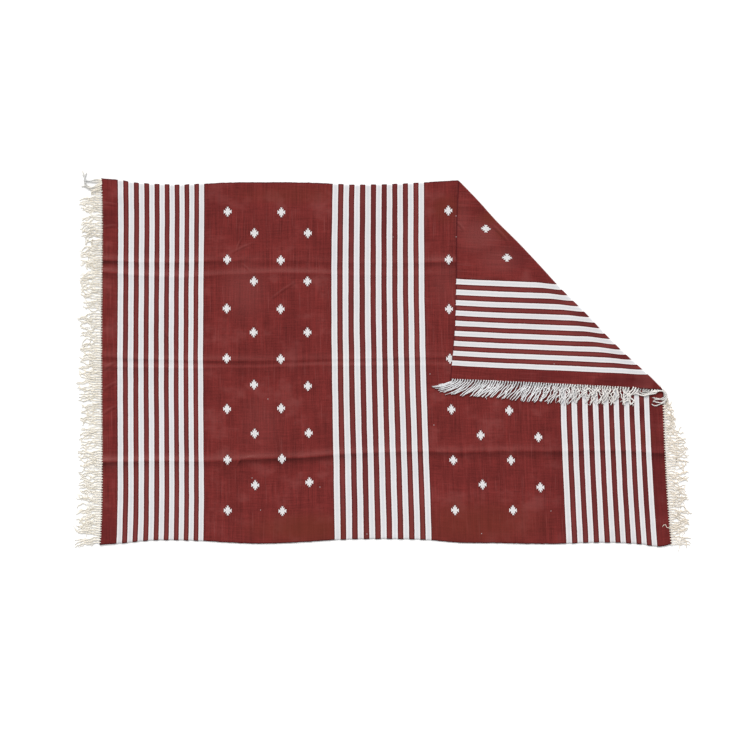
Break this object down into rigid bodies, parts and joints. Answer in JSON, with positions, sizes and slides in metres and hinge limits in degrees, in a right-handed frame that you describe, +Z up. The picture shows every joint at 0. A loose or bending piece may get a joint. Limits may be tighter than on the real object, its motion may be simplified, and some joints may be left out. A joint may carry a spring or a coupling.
{
  "type": "flat-woven cotton rug",
  "caption": "Flat-woven cotton rug in dark red with white cross stripes and small stepped diamonds, corded ends, and one corner turned over onto it.",
  "frame": {"origin": "on the floor under the middle of the rug, fringes included", "axes": "+X along the rug's length towards the end whose corner is turned over, +Y across it towards the turned corner's side, +Z up from the floor"},
  "size_m": [2.0366, 1.2329, 0.009],
  "materials": {
    "red_cotton": "matt flat weave, dark brick red with white weft stripes and small white stepped diamonds",
    "undyed_cotton": "matt twisted cord, off-white"
  },
  "bodies": {
    "root": {"rug_cloth": "red_cotton", "fringe_left": "undyed_cotton", "fringe_right": "undyed_cotton", "fringe_turned": "undyed_cotton"}
  },
  "joints": []
}
